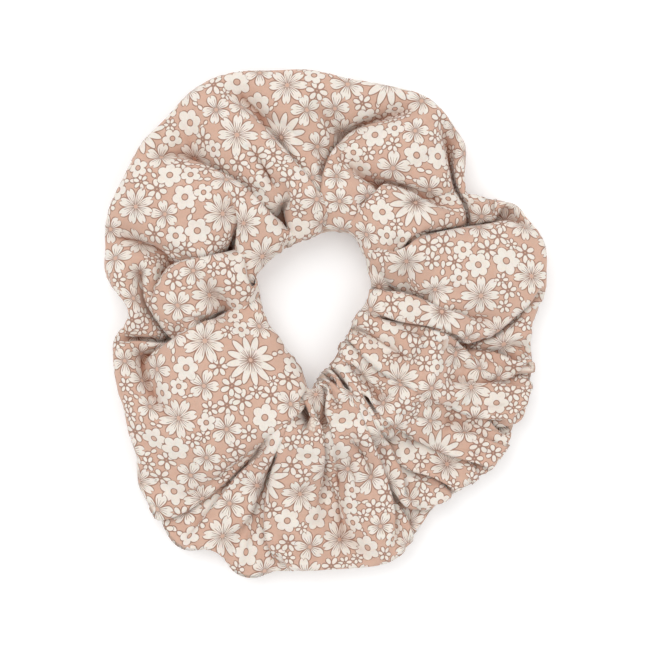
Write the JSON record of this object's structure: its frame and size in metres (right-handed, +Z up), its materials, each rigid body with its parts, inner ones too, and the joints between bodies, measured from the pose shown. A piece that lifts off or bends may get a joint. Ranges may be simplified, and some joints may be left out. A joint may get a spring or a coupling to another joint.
{
  "type": "scrunchie",
  "caption": "Gathered hair scrunchie: a printed cotton tube closed into a ring round a loose loop of flat braided elastic.",
  "frame": {"origin": "middle of the underside of the scrunchie's bounding box, on the table it lies on", "axes": "+Z up out of the table along the axis of the elastic loop; +Y along the longer way across, towards the large smooth lobe; +X to the right seen from above"},
  "size_m": [0.104, 0.1202, 0.0179],
  "materials": {
    "printed_cotton": "matte plain weave with a dense off-white flower print",
    "braided_elastic": "matte braid",
    "sewing_thread": "soft sheen spun thread"
  },
  "bodies": {
    "cover": {"fabric_tube": "printed_cotton", "long_seam_needle_thread": "sewing_thread", "long_seam_bobbin_thread": "sewing_thread", "closing_seam_thread": "sewing_thread"},
    "elastic": {"elastic_band": "braided_elastic", "elastic_join_stitches": "sewing_thread"}
  },
  "joints": [
    {"name": "elastic_turn", "type": "hinge", "parent": "cover", "child": "elastic", "pos_m": [-0.00282, 0.00291, 0.008], "axis": [0, 0, 1], "continuous": true}
  ]
}
